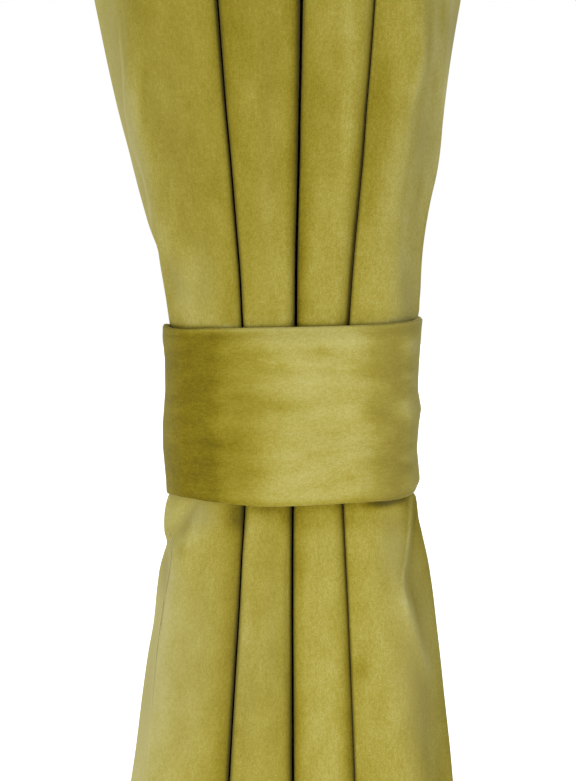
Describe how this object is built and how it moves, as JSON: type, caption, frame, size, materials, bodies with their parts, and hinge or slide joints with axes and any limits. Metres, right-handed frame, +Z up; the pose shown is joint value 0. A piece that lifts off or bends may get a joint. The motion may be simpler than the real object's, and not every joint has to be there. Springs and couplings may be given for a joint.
{
  "type": "velvet curtain with a tieback",
  "caption": "Long velvet curtain panel that hangs in deep rolled folds and is drawn in at its middle by a wide band of the same cloth, flaring above and below it.",
  "frame": {"origin": "the middle of the curtain's top edge, from which it hangs", "axes": "+X to the right of someone facing the curtain, the curtain's front faces -Y, +Z up"},
  "size_m": [0.6394, 0.1509, 2.2903],
  "materials": {
    "curtain_velvet": "short-pile velvet in chartreuse olive, matt face on with a pale sheen where it turns away",
    "band_velvet": "the same short-pile velvet with its pile lying sideways, so it shows ochre and pale patches"
  },
  "bodies": {
    "root": {"curtain_panel": "curtain_velvet", "tieback_band": "band_velvet"}
  },
  "joints": []
}
